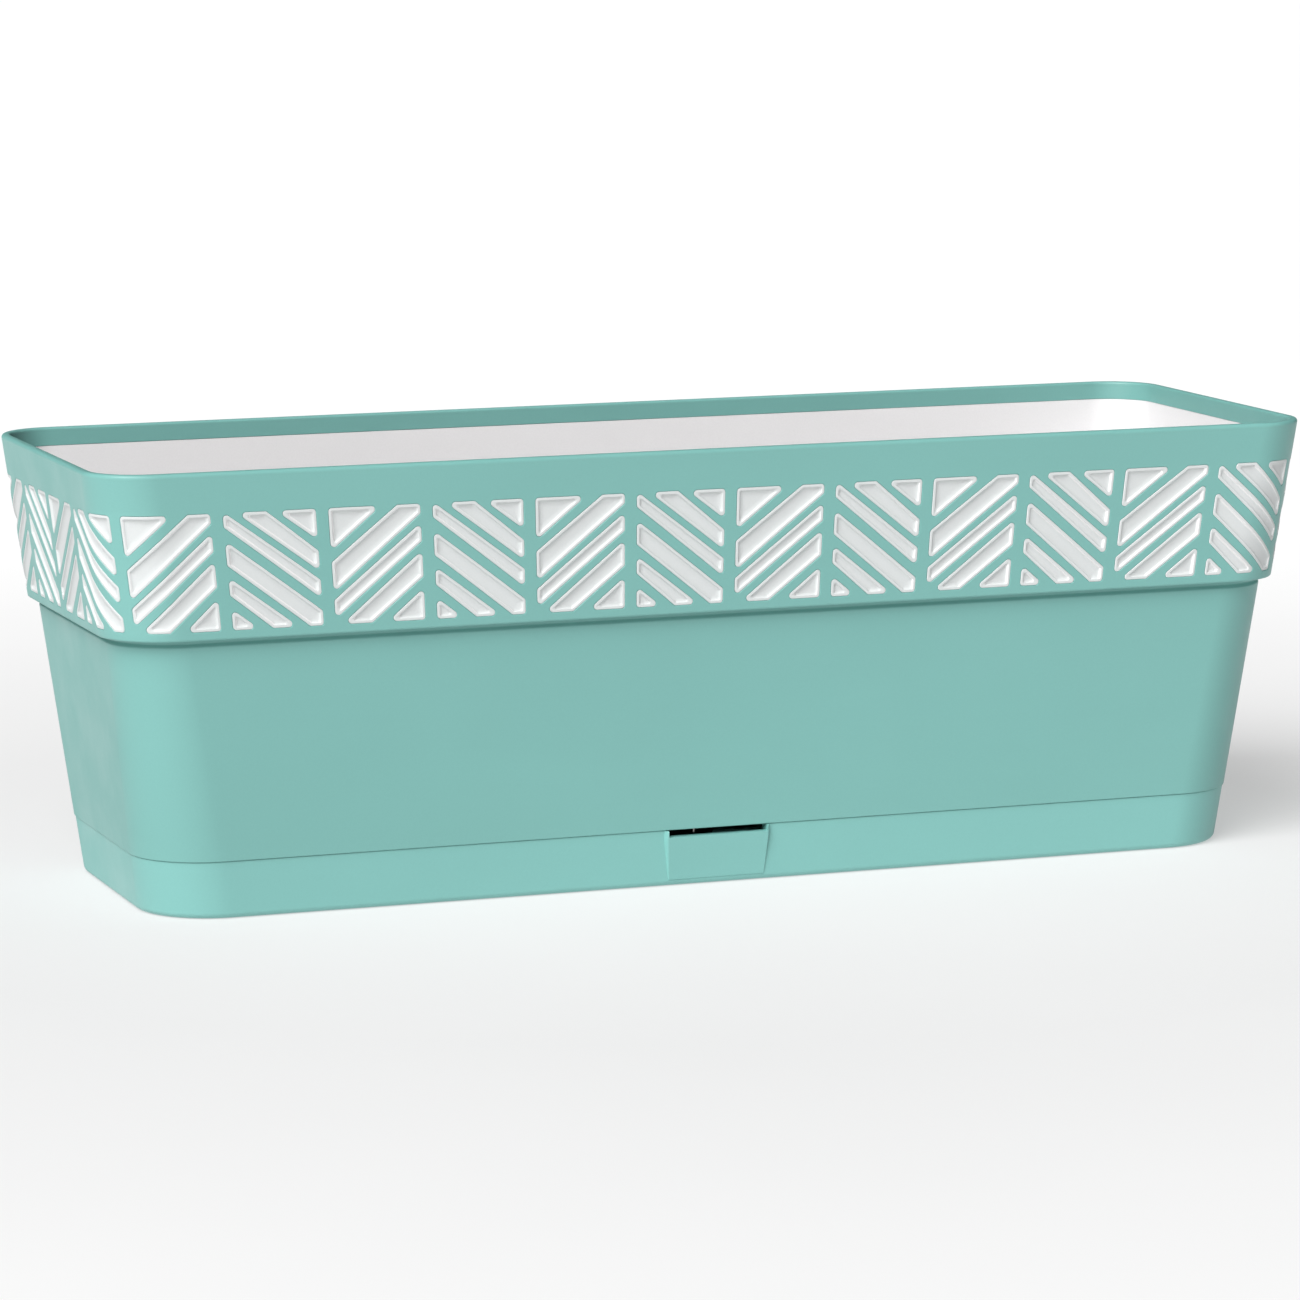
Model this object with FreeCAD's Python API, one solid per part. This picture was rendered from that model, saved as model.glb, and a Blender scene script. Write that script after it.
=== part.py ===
import FreeCAD, Part
import math, os
from FreeCAD import Vector, Placement, Rotation

# Self-watering window box: a bi-colour pot on a reservoir tray.
# Frame: +X along the length, -Y is the front, +Z up, origin at the bottom
# centre of the bounding box. Millimetres.

# ---- driving dimensions ----------------------------------------------------
LENGTH = 500.0          # over the rim
WIDTH = 171.4           # over the rim
HEIGHT = 172.7          # floor to rim
END_TAPER = 0.12        # inward lean of the end walls, mm per mm
SIDE_TAPER = 0.0778     # inward lean of the long walls, mm per mm
CORNER_R_RIM = 23.1     # plan corner radius at the rim
CORNER_R_GROW = 0.0445  # radius gained per mm going down
COLLAR_Z = 108.8        # underside of the decorated collar
COLLAR_STEP = 3.3       # how far the collar stands out of the body
SEAM_Z = 22.4           # where the pot sits on the tray
SKIN_T = 1.6            # coloured outer layer
WALL_T = 3.4            # both layers together
LIP_D = 7.3             # coloured lip inside the rim
LIP_IN = 2.5            # depth from the outside at which that lip starts
SKIRT_T = 2.6           # both layers, in the skirt below the ledge
LEDGE_Z1 = 34.0         # top of the ledge round the inside of the pot's foot
LEDGE_NOSE = 1.0        # height of its inner edge
LEDGE_Z0 = 27.6         # where its sloping underside meets the skirt
LEDGE_W = 4.6           # how far it reaches in from the wall
PLATE_Z1 = 36.6         # top of the separator plate that lies on the ledge
PLATE_GAP = 0.5         # between the plate's edge and the wall
DRAIN_R = 1.8           # drain holes in the plate

TRAY_T = 2.6            # tray wall and floor
TRAY_IN = 0.45          # the pot overhangs the tray by this much
TRAY_EDGE = 2.2         # rounding of its bottom edge
FOOT_W, FOOT_H = 9.0, 0.8  # standing ring round the underside
TRAY_GAP = 0.35         # between the tray's upstand and the pot's skirt
UPSTAND_T = 2.2
UPSTAND_LEAN = 0.75     # inward, over its height, so that the pot lifts off
UPSTAND_Z = 27.0
SLOT_W = 41.0           # overflow slot in the front of the tray rim
SLOT_Z = 19.7           # its sill: the highest water level
TONGUE_W = 44.0         # drip lip round the slot, at its top
TONGUE_W0 = 40.0        # and at its foot
TONGUE_OUT = 1.8        # how far it stands out at the top
TONGUE_SIDE = 1.1       # run of its slanting sides there
GROOVE_D = 0.9          # depth of the relief groove under the collar
GROOVE_H = 3.1          # and its height
TONGUE_Z = 18.0         # from here up it keeps its width

BAND_Z0, BAND_Z1 = 112.5, 157.0   # decorated band
CELLS = 32                        # pattern cells round the pot
PITCH_FRONT = 41.25               # cell pitch on the long walls, at the rim
PITCH_SHRINK = 0.00049            # its share lost per mm going down
TIP_R = 1.35                      # size of the blunted tips of the stripes
RECESS = 0.7                      # island faces below the coloured skin

CUP_X = (-150.0, 0.0, 150.0)      # wick cups along the pot
CUP_R_TOP, CUP_R_BOT = 27.0, 22.0
CUP_T = 1.6
CUP_Z0 = 4.4
CUP_HOLE_R = 28.0
CUP_FLANGE_R, CUP_FLANGE_T = 33.0, 1.8
FELT_R, FELT_T = 19.6, 3.0

GAUGE_X, GAUGE_Y = 205.0, -38.0   # level gauge beside the front wall
TUBE_R, TUBE_T = 8.0, 1.5
TUBE_Z0, TUBE_Z1 = 4.4, 128.0
TUBE_HOLE_R = 8.35
TUBE_FLANGE_R, TUBE_FLANGE_T = 14.0, 1.6
FLOAT_R, FLOAT_H = 5.9, 13.0
FLOAT_Z0 = 6.4
STEM_R = 1.5
STEM_Z1 = 136.0
HEAD_R, HEAD_H = 3.4, 8.0
CAP_R, CAP_T = 10.2, 1.4
CAP_Z0, CAP_Z1 = 120.0, 157.0


# ---- sections and frusta ---------------------------------------------------
def collar_dims(z):
    d = HEIGHT - z
    return (LENGTH / 2 - d * END_TAPER, WIDTH / 2 - d * SIDE_TAPER,
            CORNER_R_RIM + d * CORNER_R_GROW)


def body_dims(z):
    a, b, r = collar_dims(z)
    return a - COLLAR_STEP, b - COLLAR_STEP, r


def section(a, b, r, z):
    """Closed wire of a rounded rectangle 2a x 2b with corner radius r."""
    s = r * math.sin(math.pi / 4)
    edges = []
    P = lambda x, y: Vector(x, y, z)
    edges.append(Part.LineSegment(P(-a + r, -b), P(a - r, -b)).toShape())
    edges.append(Part.Arc(P(a - r, -b), P(a - r + s, -b + r - s), P(a, -b + r)).toShape())
    edges.append(Part.LineSegment(P(a, -b + r), P(a, b - r)).toShape())
    edges.append(Part.Arc(P(a, b - r), P(a - r + s, b - r + s), P(a - r, b)).toShape())
    edges.append(Part.LineSegment(P(a - r, b), P(-a + r, b)).toShape())
    edges.append(Part.Arc(P(-a + r, b), P(-a + r - s, b - r + s), P(-a, b - r)).toShape())
    edges.append(Part.LineSegment(P(-a, b - r), P(-a, -b + r)).toShape())
    edges.append(Part.Arc(P(-a, -b + r), P(-a + r - s, -b + r - s), P(-a + r, -b)).toShape())
    return Part.Wire(edges)


def frustum(dims, off, z0, z1, extra0=0.0, extra1=0.0):
    """Solid between two heights of a tapering wall surface, inset by off.
    The four walls are planes and the four corners ruled between arcs."""
    wires = []
    for z, e in ((z0, extra0), (z1, extra1)):
        a, b, r = dims(z)
        wires.append(section(a - off - e, b - off - e, r - off - e, z))
    low, high = wires
    faces = [Part.Face(low), Part.Face(high)]
    for e0, e1 in zip(low.Edges, high.Edges):
        if isinstance(e0.Curve, Part.Line):
            p = [e0.Vertexes[0].Point, e0.Vertexes[1].Point, e1.Vertexes[1].Point, e1.Vertexes[0].Point]
            faces.append(Part.Face(Part.makePolygon(p + [p[0]])))
        else:
            faces.append(Part.makeRuledSurface(e0, e1))
    shell = Part.makeShell(faces)
    shell.sewShape()
    solid = Part.makeSolid(shell)
    if solid.Volume < 0:
        solid.reverse()
    return solid


def pot_form(off, z0, z1):
    """The pot's form inset by off, from z0 to z1, with the collar step."""
    zc = COLLAR_Z + off
    if z1 <= zc + 0.01:
        return frustum(body_dims, off, z0, z1)
    low = frustum(body_dims, off, z0, zc + 1.5)
    high = frustum(collar_dims, off, zc, z1)
    return low.fuse(high)


# ---- the chevron pattern ---------------------------------------------------
# Each cell is drawn on the rim-size perimeter (u) against height (z). Cells
# alternate between rising and falling stripes, and the two kinds have their
# own outlines.
UL, UR, ZB, ZT = 3.35, 39.6, 112.2, 157.0
CELL_A = (
    ((UL, ZT), (UL, 140.5), (24.2, ZT)),
    ((UL, 136.2), (UL, 124.5), (UR, 153.3), (UR, ZT), (30.5, ZT)),
    ((UL, 121.6), (UL, 114.4), (UR, 142.6), (UR, 149.8)),
    ((5.9, ZB), (18.0, ZB), (UR, 129.0), (UR, 139.1)),
    ((24.2, ZB), (UR, ZB), (UR, 124.7)),
)
CELL_B = (
    ((23.9, ZT), (UR, 145.1), (UR, ZT)),
    ((8.4, ZT), (UR, 133.0), (UR, 140.9), (20.2, ZT)),
    ((UL, 157.6), (UL, 151.5), (UR, 122.5), (UR, 129.7)),
    ((UL, 146.4), (UL, 136.9), (34.2, ZB), (UR, ZB), (UR, 117.9)),
    ((UL, 132.5), (UL, 125.5), (19.4, ZB), (29.6, ZB)),
    ((UL, 120.5), (UL, ZB), (14.0, ZB)),
)
CELL_W = 41.08          # width the two cells are drawn at


def perimeter_point(s, a, b, r):
    """Point and outward normal at s mm from the front centre, going right."""
    sx, sy, arc = a - r, b - r, math.pi / 2 * r
    q = sx + arc + sy
    s = s % (4 * q)
    k = int(s // (2 * q))               # half turns
    s -= k * 2 * q
    mirror = s > q
    if mirror:
        s = 2 * q - s
    if s < sx:
        p, n = (s, -b), (0.0, -1.0)
    elif s < sx + arc:
        t = (s - sx) / r
        p = (sx + r * math.sin(t), -sy - r * math.cos(t))
        n = (math.sin(t), -math.cos(t))
    else:
        p, n = (a, -sy + (s - sx - arc)), (1.0, 0.0)
    if mirror:
        p, n = (p[0], -p[1]), (n[0], -n[1])
    if k:
        p, n = (-p[0], -p[1]), (-n[0], -n[1])
    return p, n


def quarter_length(a, b, r):
    return (a - r) + math.pi / 2 * r + (b - r)


FLAT_CELLS = 5          # cells either side of centre that keep the front pitch


def cell_to_s(t, z, off):
    """Pattern coordinate t (in cells from the front centre) to perimeter mm
    on the surface inset by off at height z."""
    a, b, r = collar_dims(z)
    q = quarter_length(a - off, b - off, r - off)
    n = math.floor(t / (CELLS / 2))     # half turns
    t = t - n * CELLS / 2
    m = t > CELLS / 4
    if m:
        t = CELLS / 2 - t
    pitch = PITCH_FRONT * (1 - PITCH_SHRINK * (HEIGHT - z))
    s = t * pitch
    if t > FLAT_CELLS:
        flat = FLAT_CELLS * pitch
        s = flat + (t - FLAT_CELLS) * (q - flat) / (CELLS / 4 - FLAT_CELLS)
    return (2 * q - s if m else s) + 2 * n * q


def wall_point(t, z, off=0.0):
    a, b, r = collar_dims(z)
    p, n = perimeter_point(cell_to_s(t, z, off), a - off, b - off, r - off)
    return Vector(p[0], p[1], z), n


def densify(poly, step=4.0):
    out = []
    for i, (u, z) in enumerate(poly):
        u2, z2 = poly[(i + 1) % len(poly)]
        m = max(1, int(math.hypot(u2 - u, z2 - z) / step))
        for k in range(m):
            out.append((u + (u2 - u) * k / m, z + (z2 - z) * k / m))
    return out


def blunt(poly):
    """Cut the sharp corners of a stripe back to a tip about TIP_R across."""
    out = []
    n = len(poly)
    for i, (u, z) in enumerate(poly):
        pu, pz = poly[i - 1]
        qu, qz = poly[(i + 1) % n]
        lp, lq = math.hypot(pu - u, pz - z), math.hypot(qu - u, qz - z)
        ap, aq = ((pu - u) / lp, (pz - z) / lp), ((qu - u) / lq, (qz - z) / lq)
        half = 0.5 * math.acos(max(-1.0, min(1.0, ap[0] * aq[0] + ap[1] * aq[1])))
        if half > math.radians(38):
            out.append((u, z))
            continue
        d = TIP_R * (1 / math.sin(half) - 1) / math.cos(half)
        out.append((u + ap[0] * d, z + ap[1] * d))
        out.append((u + aq[0] * d, z + aq[1] * d))
    return out


def prism(k, poly):
    """Prism through the wall at one stripe of cell k. On a flat wall its axis
    is the wall's plan normal; round a corner it is the normal halfway."""
    na = wall_point(k + 0.02, 134.0)[1]
    nb = wall_point(k + 0.98, 134.0)[1]
    flat = na[0] * nb[0] + na[1] * nb[1] > 0.999999
    n = Vector(na[0] + nb[0], na[1] + nb[1], 0).normalize()
    poly = blunt(poly)
    pts = [wall_point(k + u / CELL_W, z, 0.8)[0] for u, z in (poly if flat else densify(poly))]
    depth = [p.dot(n) for p in pts]
    base = min(depth) - 3.0
    foot = [p + n * (base - d) for p, d in zip(pts, depth)]
    face = Part.Face(Part.makePolygon(foot + [foot[0]]))
    return face.extrude(n * (max(depth) + 3.0 - base))


def cylinder(r, z0, z1, x=0.0, y=0.0):
    return Part.makeCylinder(r, z1 - z0, Vector(x, y, z0))


def cone(r0, r1, z0, z1, x=0.0, y=0.0):
    return Part.makeCone(r0, r1, z1 - z0, Vector(x, y, z0))


def box(x0, x1, y0, y1, z0, z1):
    return Part.makeBox(x1 - x0, y1 - y0, z1 - z0, Vector(x0, y0, z0))


os.makedirs("parts", exist_ok=True)


def write(name, shape):
    shape = shape.removeSplitter() if name not in ("pot_skin", "pot_inner") else shape
    n = len(shape.Solids)
    print("%-18s solids %d valid %s volume %.0f mm3" % (name, n, shape.isValid(), shape.Volume))
    if n == 1:
        shape = shape.Solids[0]
    shape.exportStep("parts/%s.step" % name)
    return shape


# ---- pot: coloured skin ----------------------------------------------------
LIP_Z = HEIGHT - LIP_D
prisms = []
for k in range(CELLS):
    for poly in (CELL_A if k % 2 == 0 else CELL_B):
        prisms.append(prism(k, poly))
pattern = Part.makeCompound(prisms)

skin = pot_form(0.0, SEAM_Z, HEIGHT)
skin = skin.cut(pot_form(SKIN_T, SEAM_Z - 1, HEIGHT - SKIN_T))
skin = skin.fuse(frustum(collar_dims, LIP_IN, LIP_Z, HEIGHT - 0.8))
skin = skin.cut(frustum(collar_dims, WALL_T, LIP_Z - 1, HEIGHT + 1))
skin = skin.cut(pattern)
g0, g1 = COLLAR_Z - GROOVE_H, COLLAR_Z - GROOVE_H + 1.6
core = frustum(body_dims, -0.1, g0 - 0.18, g1, 0.0, GROOVE_D + 0.1).fuse(frustum(body_dims, GROOVE_D, g1, COLLAR_Z + 0.5))
skin = skin.cut(frustum(body_dims, -0.6, g0 - 0.18, COLLAR_Z).cut(core))
write("pot_skin", skin)

# ---- pot: white inner layer, with the islands that fill the windows --------
inner = pot_form(SKIN_T, SEAM_Z, HEIGHT - SKIN_T)
inner = inner.cut(pot_form(WALL_T, LEDGE_Z1, HEIGHT + 1))
inner = inner.cut(frustum(collar_dims, LIP_IN, LIP_Z, HEIGHT + 1))
inner = inner.cut(frustum(body_dims, SKIRT_T, SEAM_Z - 1, LEDGE_Z0))
nose = WALL_T + LEDGE_W
inner = inner.cut(frustum(body_dims, SKIRT_T, LEDGE_Z0, LEDGE_Z1 - LEDGE_NOSE, 0.0, nose - SKIRT_T))
inner = inner.cut(frustum(body_dims, nose, LEDGE_Z1 - LEDGE_NOSE, LEDGE_Z1 + 1))
shell = frustum(collar_dims, RECESS, BAND_Z0 - 2, BAND_Z1 + 2).cut(
    frustum(collar_dims, SKIN_T + 0.4, BAND_Z0 - 3, BAND_Z1 + 3))
islands = pattern.common(shell)
print("islands", len(islands.Solids))
inner = inner.fuse(islands.Solids)
write("pot_inner", inner)

# ---- separator plate, lying on the ledge -----------------------------------
plate = frustum(body_dims, WALL_T + PLATE_GAP, LEDGE_Z1, PLATE_Z1)
holes = [cylinder(CUP_HOLE_R, LEDGE_Z1 - 1, PLATE_Z1 + 1, x, 0) for x in CUP_X]
holes.append(cylinder(TUBE_HOLE_R, LEDGE_Z1 - 1, PLATE_Z1 + 1, GAUGE_X, GAUGE_Y))
for x in (-195.0, -105.0, -75.0, -45.0, 45.0, 75.0, 105.0, 195.0):
    for y in (-48.0, -16.0, 16.0, 48.0):
        if math.hypot(x - GAUGE_X, y - GAUGE_Y) > 20.0:
            holes.append(cylinder(DRAIN_R, LEDGE_Z1 - 1, PLATE_Z1 + 1, x, y))
write("separator_plate", plate.cut(Part.makeCompound(holes)))

# ---- reservoir tray --------------------------------------------------------
def rounded_foot(off, r, z_top):
    """Solid tray form whose bottom edge is rounded in four flats."""
    form = None
    n = 4
    for i in range(n):
        a0, a1 = math.pi / 2 * i / n, math.pi / 2 * (i + 1) / n
        z0, z1 = r * (1 - math.cos(a0)), r * (1 - math.cos(a1))
        e0, e1 = r * (1 - math.sin(a0)), r * (1 - math.sin(a1))
        step = frustum(body_dims, off, z0, z1, e0, e1)
        form = step if form is None else form.fuse(step)
    return form.fuse(frustum(body_dims, off, r, z_top))


tray = rounded_foot(TRAY_IN, TRAY_EDGE, SEAM_Z)
tray = tray.cut(frustum(body_dims, TRAY_IN + TRAY_T, TRAY_T, TRAY_T + 1.5, 1.5, 0.0).fuse(
    frustum(body_dims, TRAY_IN + TRAY_T, TRAY_T + 1.5, SEAM_Z - TRAY_T)))
up_in = SKIRT_T + TRAY_GAP + UPSTAND_T
tray = tray.cut(frustum(body_dims, up_in, SEAM_Z - TRAY_T - 0.5, SEAM_Z + 1))
upstand = frustum(body_dims, SKIRT_T + TRAY_GAP, SEAM_Z - 1.2, UPSTAND_Z, 0.0, UPSTAND_LEAN).cut(
    frustum(body_dims, up_in, SEAM_Z - 2, SEAM_Z)).cut(
    frustum(body_dims, up_in, SEAM_Z, UPSTAND_Z + 1, 0.0, UPSTAND_LEAN))
tray = tray.fuse(upstand)
tray = tray.cut(frustum(body_dims, TRAY_IN + TRAY_EDGE + FOOT_W, -1.0, FOOT_H))
# drip lip: proud at the slot and dying into the wall towards the foot
yf = lambda z: -body_dims(z)[1] + TRAY_IN
w1, w0, out = TONGUE_W / 2, TONGUE_W0 / 2, TONGUE_OUT
inn = 1.2
run = TONGUE_SIDE / TONGUE_OUT


def lip_section(z, w, o):
    """Plan section of the lip: a trapezium standing o out of the wall."""
    return Part.makePolygon([Vector(-w, yf(z) + inn, z), Vector(-w, yf(z), z), Vector(-w + run * o, yf(z) - o, z),
                             Vector(w - run * o, yf(z) - o, z), Vector(w, yf(z), z), Vector(w, yf(z) + inn, z),
                             Vector(-w, yf(z) + inn, z)])


z_low, z_top = TRAY_EDGE, SEAM_Z - 0.1
bevel = 0.8
tongue = Part.makeLoft([lip_section(z_low, w0, 0.25), lip_section(TONGUE_Z, w1, out * 0.93)], True, True)
tongue = tongue.fuse(Part.makeLoft([lip_section(TONGUE_Z, w1, out * 0.93), lip_section(z_top - bevel, w1, out)], True, True))
tongue = tongue.fuse(Part.makeLoft([lip_section(z_top - bevel, w1, out), lip_section(z_top, w1, out - bevel)], True, True))
tray = tray.fuse(tongue)
tray = tray.cut(box(-SLOT_W / 2, SLOT_W / 2, yf(SEAM_Z) - 4, yf(SEAM_Z) + up_in + 2, SLOT_Z, SEAM_Z))
write("reservoir_tray", tray)

# ---- wick cups and their felts ---------------------------------------------
for name, x in zip(("left", "middle", "right"), CUP_X):
    cup = cone(CUP_R_BOT, CUP_R_TOP, CUP_Z0, PLATE_Z1 + 0.4, x, 0).fuse(
        cylinder(CUP_FLANGE_R, PLATE_Z1, PLATE_Z1 + CUP_FLANGE_T, x, 0))
    cup = cup.cut(cone(CUP_R_BOT - CUP_T, CUP_R_TOP - CUP_T, CUP_Z0 + CUP_T, PLATE_Z1 + CUP_FLANGE_T + 0.2, x, 0))
    for i in range(8):
        slot = box(CUP_R_BOT - 5, CUP_R_TOP + 2, -1.3, 1.3, CUP_Z0 + 6.5, LEDGE_Z0)
        slot.rotate(Vector(0, 0, 0), Vector(0, 0, 1), 22.5 + i * 45.0)
        slot.translate(Vector(x, 0, 0))
        cup = cup.cut(slot)
    for i in range(7):
        rr = 0.0 if i == 0 else 12.0
        an = math.radians(60.0 * i)
        cup = cup.cut(cylinder(2.4, CUP_Z0 - 1, CUP_Z0 + CUP_T + 1, x + rr * math.cos(an), rr * math.sin(an)))
    write("wick_cup_" + name, cup)
    write("wick_felt_" + name, cylinder(FELT_R, CUP_Z0 + CUP_T, CUP_Z0 + CUP_T + FELT_T, x, 0))

# ---- level gauge -----------------------------------------------------------
gx, gy = GAUGE_X, GAUGE_Y
tube = cylinder(TUBE_R, TUBE_Z0, TUBE_Z1, gx, gy).fuse(
    cylinder(TUBE_FLANGE_R, PLATE_Z1, PLATE_Z1 + TUBE_FLANGE_T, gx, gy))
tube = tube.cut(cylinder(TUBE_R - TUBE_T, TUBE_Z0 + 1.4, TUBE_Z1 + 1, gx, gy))
tube = tube.cut(cylinder(3.0, TUBE_Z0 - 1, TUBE_Z0 + 2, gx, gy))
tube = tube.cut(box(gx - TUBE_R - 1, gx + TUBE_R + 1, gy - 2, gy + 2, 9.0, 26.0))
write("gauge_tube", tube)

gfloat = cylinder(FLOAT_R, FLOAT_Z0, FLOAT_Z0 + FLOAT_H, gx, gy).cut(
    cylinder(STEM_R, FLOAT_Z0 + 4.0, FLOAT_Z0 + FLOAT_H + 1, gx, gy))
gfloat = gfloat.makeFillet(1.2, [e for e in gfloat.Edges if abs(e.Length - 2 * math.pi * FLOAT_R) < 0.01])
write("gauge_float", gfloat)
stem = cylinder(STEM_R, FLOAT_Z0 + 4.0, STEM_Z1 - HEAD_H + 0.5, gx, gy).fuse(
    cylinder(HEAD_R, STEM_Z1 - HEAD_H, STEM_Z1, gx, gy))
write("gauge_stem", stem)
cap = cylinder(CAP_R, CAP_Z0, CAP_Z1 - 4.0, gx, gy).fuse(cone(CAP_R, CAP_R - 4.0, CAP_Z1 - 4.0, CAP_Z1, gx, gy))
cap = cap.cut(cylinder(TUBE_R + 0.35, CAP_Z0 - 1, TUBE_Z1 + 0.0, gx, gy))
cap = cap.cut(cylinder(CAP_R - CAP_T - 2.6, TUBE_Z1 - 1, CAP_Z1 - CAP_T, gx, gy))
write("gauge_cap", cap)
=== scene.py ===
import bpy, bmesh
import math
import numpy as np
from mathutils import Vector, Matrix, noise
from mathutils.geometry import delaunay_2d_cdt


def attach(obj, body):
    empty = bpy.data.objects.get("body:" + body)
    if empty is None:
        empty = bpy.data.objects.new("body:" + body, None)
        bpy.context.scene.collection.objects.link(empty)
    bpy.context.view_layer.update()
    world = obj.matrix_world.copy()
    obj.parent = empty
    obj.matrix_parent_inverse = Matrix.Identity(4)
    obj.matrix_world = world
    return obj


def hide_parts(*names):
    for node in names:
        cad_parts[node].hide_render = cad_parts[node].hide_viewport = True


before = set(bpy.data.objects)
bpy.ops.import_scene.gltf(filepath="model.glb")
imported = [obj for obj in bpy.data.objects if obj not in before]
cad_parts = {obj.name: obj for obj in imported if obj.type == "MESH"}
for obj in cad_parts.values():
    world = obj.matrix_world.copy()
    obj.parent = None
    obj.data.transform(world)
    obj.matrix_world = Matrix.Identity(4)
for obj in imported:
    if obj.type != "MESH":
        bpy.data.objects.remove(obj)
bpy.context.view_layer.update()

MM = 0.001
# ---- the planter's form, in mm (the frame's own dimensions) ------------------
LENGTH, WIDTH, HEIGHT = 500.0, 171.4, 172.7
END_TAPER, SIDE_TAPER = 0.12, 0.0778
R_RIM, R_GROW = 23.1, 0.0445
COLLAR_Z, COLLAR_STEP = 108.8, 3.3
SEAM_Z = 22.4
SKIN_T, WALL_T = 1.6, 3.4
LIP_Z = HEIGHT - 7.3
BAND_TOP, BAND_BOT = 158.6, 110.9
CELL_W = 41.08
PITCH, SHRINK, FLAT_CELLS = 41.25, 0.00049, 5


def collar(z):
    d = HEIGHT - z
    return LENGTH / 2 - d * END_TAPER, WIDTH / 2 - d * SIDE_TAPER, R_RIM + d * R_GROW


def body(z):
    a, b, r = collar(z)
    return a - COLLAR_STEP, b - COLLAR_STEP, r


def ring_xy(sig, a, b, r):
    """Point and plan normal on a rounded rectangle. sig runs 0..12 from the
    front centre: 0-1 front, 1-2 corner, 2-3 end, then mirrored round."""
    sig = sig % 12.0
    k = int(sig // 6)
    s = sig - 6 * k
    m = s > 3
    if m:
        s = 6 - s
    if s <= 1:
        x, y, nx, ny = s * (a - r), -b, 0.0, -1.0
    elif s <= 2:
        t = (s - 1) * math.pi / 2
        nx, ny = math.sin(t), -math.cos(t)
        x, y = (a - r) + r * nx, -(b - r) + r * ny
    else:
        x, y, nx, ny = a, -(b - r) + (s - 2) * (b - r), 1.0, 0.0
    if m:
        y, ny = -y, -ny
    if k:
        x, y, nx, ny = -x, -y, -nx, -ny
    return x, y, nx, ny


def wall_point(sig, z, off=0.0, dims=collar):
    a, b, r = dims(z)
    x, y, nx, ny = ring_xy(sig, a - off, b - off, max(r - off, 1.0))
    return x, y, z, nx, ny


def wall_normal(sig, z, dims=collar):
    a, b, r = dims(z)
    _, _, nx, ny = ring_xy(sig, a, b, r)
    lean = END_TAPER * nx * nx + SIDE_TAPER * ny * ny
    n = Vector((nx, ny, -lean))
    return n.normalized()


def sig_of(t, z):
    """Pattern coordinate t, in cells from the front centre, to sig at height z."""
    a, b, r = collar(z)
    sx, arc, sy = a - r, math.pi / 2 * r, b - r
    q = sx + arc + sy
    n = math.floor(t / 16.0)
    t = t - 16.0 * n
    m = t > 8
    if m:
        t = 16 - t
    pitch = PITCH * (1 - SHRINK * (HEIGHT - z))
    s = t * pitch
    if t > FLAT_CELLS:
        flat = FLAT_CELLS * pitch
        s = flat + (t - FLAT_CELLS) * (q - flat) / (8.0 - FLAT_CELLS)
    if s <= sx:
        g = s / sx
    elif s <= sx + arc:
        g = 1 + (s - sx) / arc
    else:
        g = 2 + (s - sx - arc) / sy
    if m:
        g = 6 - g
    return g + 6 * n


# flat working domain for the band: U in mm at mid height
_a, _b, _r = collar(134.0)
_BR = [0.0, _a - _r, _a - _r + math.pi / 2 * _r, _a - _r + math.pi / 2 * _r + _b - _r]
Q = _BR[3]


def u_of(g):
    g0 = g
    k = math.floor(g / 6.0)
    s = g - 6 * k
    m = s > 3
    if m:
        s = 6 - s
    i = min(2, int(s))
    u = _BR[i] + (s - i) * (_BR[i + 1] - _BR[i])
    return (2 * Q - u if m else u) + 2 * Q * k


def g_of(u):
    k = math.floor(u / (2 * Q))
    s = u - 2 * Q * k
    m = s > Q
    if m:
        s = 2 * Q - s
    i = 0 if s < _BR[1] else (1 if s < _BR[2] else 2)
    g = i + (s - _BR[i]) / (_BR[i + 1] - _BR[i])
    return (6 - g if m else g) + 6 * k


# ---- pattern outlines: (u, z) in mm, u from the cell's left boundary ----------------
UL, UR, ZB, ZT = 3.35, 39.6, 112.2, 157.0
CELL_A = (
    ((UL, ZT), (UL, 140.5), (24.2, ZT)),
    ((UL, 136.2), (UL, 124.5), (UR, 153.3), (UR, ZT), (30.5, ZT)),
    ((UL, 121.6), (UL, 114.4), (UR, 142.6), (UR, 149.8)),
    ((5.9, ZB), (18.0, ZB), (UR, 129.0), (UR, 139.1)),
    ((24.2, ZB), (UR, ZB), (UR, 124.7)),
)
CELL_B = (
    ((23.9, ZT), (UR, 145.1), (UR, ZT)),
    ((8.4, ZT), (UR, 133.0), (UR, 140.9), (20.2, ZT)),
    ((UL, 157.6), (UL, 151.5), (UR, 122.5), (UR, 129.7)),
    ((UL, 146.4), (UL, 136.9), (34.2, ZB), (UR, ZB), (UR, 117.9)),
    ((UL, 132.5), (UL, 125.5), (19.4, ZB), (29.6, ZB)),
    ((UL, 120.5), (UL, ZB), (14.0, ZB)),
)


def clip_half(poly, px, pz, nx, nz):
    """Keep the part of a convex polygon on the side n of the line through p."""
    out = []
    n = len(poly)
    for i in range(n):
        a, b = poly[i], poly[(i + 1) % n]
        da = (a[0] - px) * nx + (a[1] - pz) * nz
        db = (b[0] - px) * nx + (b[1] - pz) * nz
        if da >= 0:
            out.append(a)
        if (da > 0) != (db > 0) and abs(da - db) > 1e-12:
            f = da / (da - db)
            out.append((a[0] + (b[0] - a[0]) * f, a[1] + (b[1] - a[1]) * f))
    return out


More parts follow.
